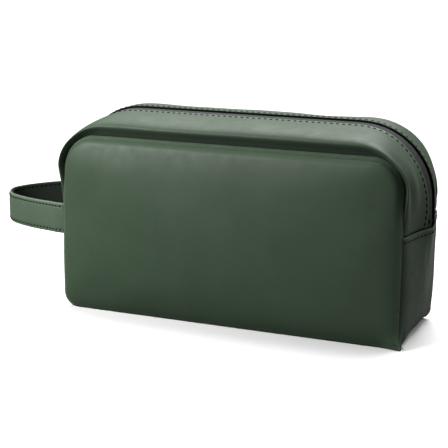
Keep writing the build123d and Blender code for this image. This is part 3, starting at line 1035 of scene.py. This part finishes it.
def make_base():
    """The lower gusset, in one length up one end, along the floor and up the other, with its lining."""
    grid = gusset(BASE_STEPS, BASE_SPREAD)
    pinned = sewn_edges(grid) | (grid[:, :, 2] < FLOOR_HELD)
    grid = inflate(grid, pinned, BASE_CAP, GUSSET_SOFTNESS)
    grid[:, :, 2] = np.maximum(grid[:, :, 2], 0)
    grid = lifted_at_ends(grid, END_LIFT, END_LIFT_REACH)
    inner = inwards(grid, LEATHER)
    # painted shade darkens the gusset beside both seams
    base = cloth_slab("base_gusset_skin", grid, inner, LEATHER_CLOTH, crease_shade=(BASE_CREASE_SHADE, BASE_CREASE_SHADE))
    place(base, "root", ["base_gusset", "base_foam"])

    steps = crest.steps(BASE_START, BASE_END, 2 * GRID)
    y = spaced((-SEAM_Y + 1, 2.5), (SEAM_Y - 1, 2.5))
    line_gusset("base_lining_cloth", steps, y, "root", "base_lining")

    outward = -grid_normals(grid)
    levels = FOLD - SIDE_STITCH + seam_sag(BASE_SPREAD / SEAM_Y)
    lines = []
    for rows in (slice(END_ROWS - 1, None, -1), slice(-END_ROWS, None)):  # each end's rows, upwards
        end, facing = grid[rows], outward[rows]
        line = [sample(level, end[:, j, 2], end[:, j]) for j, level in enumerate(levels)]
        normals = [sample(level, end[:, j, 2], facing[:, j]) for j, level in enumerate(levels)]
        lines += dashes(np.array(line), np.array(normals), start=1.5)
    place(tube("side_seam_stitches", lines, STITCH_RADIUS, THREAD, sides=6), "root")


def make_zip(side):
    """A woven tape with its coil sewn to the inside."""
    name = SIDE_NAMES[side]
    y = ordered(side, spaced((0.15, 0.45), (3.2, 0.6), (TAPE_REACH - 0.5, 0.6)))
    base = gusset(TOP_STEPS, y, puff=0.0)
    ridge = TAPE_RIDGE * bump(np.abs(y) - TAPE_RIDGE_AT, TAPE_RIDGE_WIDTH)
    outer = inwards(base, TAPE_DEPTH - ridge)
    inner = inwards(base, TAPE_DEPTH + TAPE_THICKNESS)
    tape = cloth_slab(f"zip_tape_{name}_weave", outer, inner, TAPE_CLOTH)
    place(tape, f"{name}_mouth", [f"zip_tape_{name}"])

    middle = gusset(TOP_STEPS, side * COIL_Y + np.array([-0.3, 0, 0.3]), puff=0.0)
    normals = grid_normals(middle)[:, 1]
    centre = middle[:, 1] + normals * (TAPE_DEPTH + TAPE_THICKNESS + COIL_DEPTH)
    reach = polyline_lengths(centre)
    turns = int(reach[-1] / COIL_PITCH)
    stations = np.linspace(0, reach[-1], turns * COIL_STEPS)
    angle = stations / COIL_PITCH * 2 * math.pi
    rise = COIL_HALF_HEIGHT * np.sin(angle)
    path = sample(stations, reach, centre) + sample(stations, reach, normals) * rise[:, None]
    path[:, 1] += COIL_HALF_WIDTH * np.cos(angle)
    coil = tube(f"zip_coil_{name}_turns", [path], COIL_WIRE, NYLON, sides=6)
    place(coil, f"{name}_mouth", [f"zip_coil_{name}"])


def make_bindings():
    """Folded bindings over the raw edges of the seams, inside the bag."""
    inset = LINING_DEPTH + LINING + 1.0
    for side, name in SIDE_NAMES.items():
        steps = seams[side].steps(0, STEPS, GRID * 1.5)
        point, normal = seams[side].at(steps)
        across = point - normal * inset
        line = np.insert(across, 1, side * (SEAM_Y - BINDING_IN), axis=1)
        binding = tube(f"{name}_binding_tape", [line], BINDING_RADIUS, BINDING_CLOTH, sides=10, closed=True)
        place(binding, f"{name}_mouth", [f"{name}_binding_lower", f"{name}_binding_upper"])
    lines = []
    for step in (RIGHT_FOLD - 0.03, LEFT_FOLD + 1.03):
        line = gusset([step], spaced((-SEAM_Y + 3, 2), (SEAM_Y - 3, 2)), puff=0.0)[0]
        line[:, 0] -= np.sign(line[:, 0]) * inset
        lines.append(line)
    ends = tube("end_binding_tapes", lines, BINDING_RADIUS, BINDING_CLOTH, sides=10)
    place(ends, "root", ["end_bindings"])


def spline(points, count):
    """A smooth curve through points, by Catmull-Rom spans of even length in time."""
    points = np.asarray(points, float)
    padded = np.vstack([2 * points[0] - points[1], points, 2 * points[-1] - points[-2]])
    spans = len(points) - 1
    found = []
    for share in np.linspace(0, spans - 1e-9, count):
        i = int(share)
        u = share - i
        a, b, c, d = padded[i : i + 4]
        square, cube = 2 * a - 5 * b + 4 * c - d, 3 * b - a - 3 * c + d
        found.append(0.5 * (2 * b + (c - a) * u + square * u**2 + cube * u**3))
    return np.array(found)


def make_strap():
    """The wrist strap: a folded strip sewn down both edges, its ends held in the front and back seams."""
    tip = strap_low[0] + STRAP_THICK / 2
    root_y = end_high[1] - STRAP_THICK / 2 - 0.2
    root = -SEAM_HALF + 2
    middle = (end_low[2] + end_high[2]) / 2
    route = [
        (root, root_y, middle - 0.5),
        (root - 9, root_y * 0.985, middle - 0.6),
        (tip + 52, root_y * 0.90, middle - 0.9),
        (tip + 28, root_y * 0.70, middle - 1.4),
        (tip + 8, root_y * 0.36, middle - 2.0),
        (tip, -root_y * 0.06, middle - 1.6),
        (tip + 9, -root_y * 0.44, middle - 0.4),
        (tip + 28, -root_y * 0.78, middle + 1.2),
        (tip + 52, -root_y * 0.95, middle + 2.2),
        (root - 9, -root_y * 1.0, middle + 2.6),
        (root, -root_y, middle + 2.6),
    ]
    path = spline(route, STRAP_ROWS)
    tangent = unit(np.gradient(path, axis=0))
    upright = unit(np.array([0.0, 0.0, 1.0]) - tangent * tangent[:, 2:3])
    outward = np.cross(upright, tangent)
    if outward[len(path) // 2, 0] > 0:
        outward = -outward
    half = (end_high[2] - end_low[2]) / 2 - 0.3
    stitch_at = half - STRAP_STITCH
    lower = ((-half, 0.35), (-half + 1.6, 0.5), (-stitch_at + 1.5, 1.2))
    heights = spaced(*lower, (stitch_at - 1.5, 0.5), (half - 1.6, 0.35), (half, 1))
    edge = np.clip(np.abs(heights) - (half - STRAP_TAPER), 0, STRAP_TAPER) / STRAP_TAPER
    thick = STRAP_THICK / 2 * (STRAP_EDGE + (1 - STRAP_EDGE) * np.sqrt(arch(edge)))
    thick = thick - STRAP_GROOVE * bump(np.abs(heights) - stitch_at, STRAP_GROOVE_WIDTH)
    thick = thick + STRAP_SWELL * arch(heights / stitch_at)
    places = path[:, None, :] + upright[:, None, :] * heights[None, :, None]
    wavy = rippled(path, STRAP_TWIST)[:, None] + rippled(places, STRAP_WAVES)
    places = places + outward[:, None, :] * wavy[:, :, None]
    outer = places + outward[:, None, :] * thick[None, :, None]
    inner = places - outward[:, None, :] * thick[None, :, None]
    # the strap's edges are paler by wear and painted highlight; its inner face carries painted shade
    strap = cloth_slab(
        "wrist_strap_leather", outer, inner, STRAP_CLOTH_PAINTED_LIT, wear_and_highlight=(0.8, 0.8), painted_shade=STRAP_PAINTED_SHADE
    )
    threads = []
    for facing, surface in ((outward, outer), (-outward, inner)):
        for height in (-stitch_at, stitch_at):
            column = int(np.argmin(np.abs(heights - height)))
            line = surface[:, column]
            threads += dashes(line, facing, start=1.0, pitch=STRAP_PITCH, length=STRAP_STITCH_LENGTH, lift=0.25)
    stitches = tube("wrist_strap_stitches", threads, STITCH_RADIUS, THREAD, sides=6)
    for obj, slot in ((strap, "strap_leather"), (stitches, "binding")):
        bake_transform(obj)
    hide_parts("wrist_strap", "strap_end_front", "strap_end_back")


def finish_hardware():
    """Gives the slider, the pull tab and the end stops their finishes. Their shapes are the CAD's."""
    for name, material in (("slider_body", METAL), ("pull_tab", METAL), ("zip_end_stops", TAPE_CLOTH)):
        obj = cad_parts[name]
        obj.data.materials.clear()
        obj.data.materials.append(material)


# ---- building
for side in SIDE_NAMES:
    make_panel(side)
    make_strip(side)
    make_zip(side)
make_base()
make_bindings()
make_strap()
finish_hardware()


# ---- camera, floor and light
def look_at(obj, target):
    direction = Vector(target) - obj.location
    obj.rotation_euler = direction.to_track_quat("-Z", "Y").to_euler()


def add_lamp(name, kind, location, target, power):
    """A lamp of a kind, shining from a place towards a target."""
    data = bpy.data.lights.new(name, kind)
    data.energy = power
    lamp = add_object(name, data)
    lamp.location = location
    look_at(lamp, target)
    return data


def sun(name, elevation, azimuth, softness, power):
    """A soft distant light. Azimuth 0 comes from the front and 90 from the right end."""
    rise, turn = math.radians(elevation), math.radians(azimuth)
    away = (math.sin(turn) * math.cos(rise), -math.cos(turn) * math.cos(rise), math.sin(rise))
    add_lamp(name, "SUN", away, (0, 0, 0), power).angle = math.radians(softness)


def area_light(name, location, target, size, power, gloss=1.0):
    """A soft box that faces a target, and shows in gloss by a share."""
    data = add_lamp(name, "AREA", location, target, power)
    data.specular_factor = gloss
    data.shape = "RECTANGLE"
    data.size, data.size_y = size


def make_floor():
    """A plain white floor that throws back little light, as a studio floor with black flags round it."""
    paper = Finish("paper", roughness=0.9, specular=0.1)
    seen = paper.node("ShaderNodeLightPath").outputs["Is Camera Ray"]
    grain = paper.blend(paper.noise(900, 1), (0.86, 0.86, 0.86, 1), (0.88, 0.88, 0.88, 1))
    paper.colour(paper.blend(seen, FLOOR_BOUNCE, grain))
    reach = FLOOR_REACH / MM
    points = [(-reach, -reach, 0), (reach, -reach, 0), (reach, reach, 0), (-reach, reach, 0)]
    mesh_object("floor", points, [(0, 1, 2, 3)], paper.material)


def make_world():
    """White where the camera looks past the floor, and a dimmer white as a source of light."""
    world = bpy.data.worlds.new("world")
    world.use_nodes = True
    nodes, links = world.node_tree.nodes, world.node_tree.links
    path = nodes.new("ShaderNodeLightPath")
    strength = nodes.new("ShaderNodeMapRange")
    strength.inputs["To Min"].default_value = SKY_LIGHT
    strength.inputs["To Max"].default_value = 1.0
    links.new(path.outputs["Is Camera Ray"], strength.inputs["Value"])
    links.new(strength.outputs["Result"], nodes["Background"].inputs["Strength"])
    nodes["Background"].inputs["Color"].default_value = (1, 1, 1, 1)
    bpy.context.scene.world = world


camera = add_object("camera", bpy.data.cameras.new("camera"))
camera.data.lens = CAMERA_LENS
camera.data.sensor_width = CAMERA_SENSOR
camera.location = CAMERA_PLACE
look_at(camera, CAMERA_TARGET)
bpy.context.scene.camera = camera

make_floor()
make_world()
bpy.context.scene.view_settings.view_transform = "Standard"
sun("top_light", elevation=62, azimuth=190, softness=50, power=5.1)
area_light("side_light", (0.62, 0.22, 0.54), (0.13, 0, 0.08), size=(0.5, 0.4), power=1.4, gloss=0.4)
area_light("key_light", (-0.41, -0.44, 0.43), (-0.03, -0.04, 0.08), size=(0.36, 0.36), power=7.1)
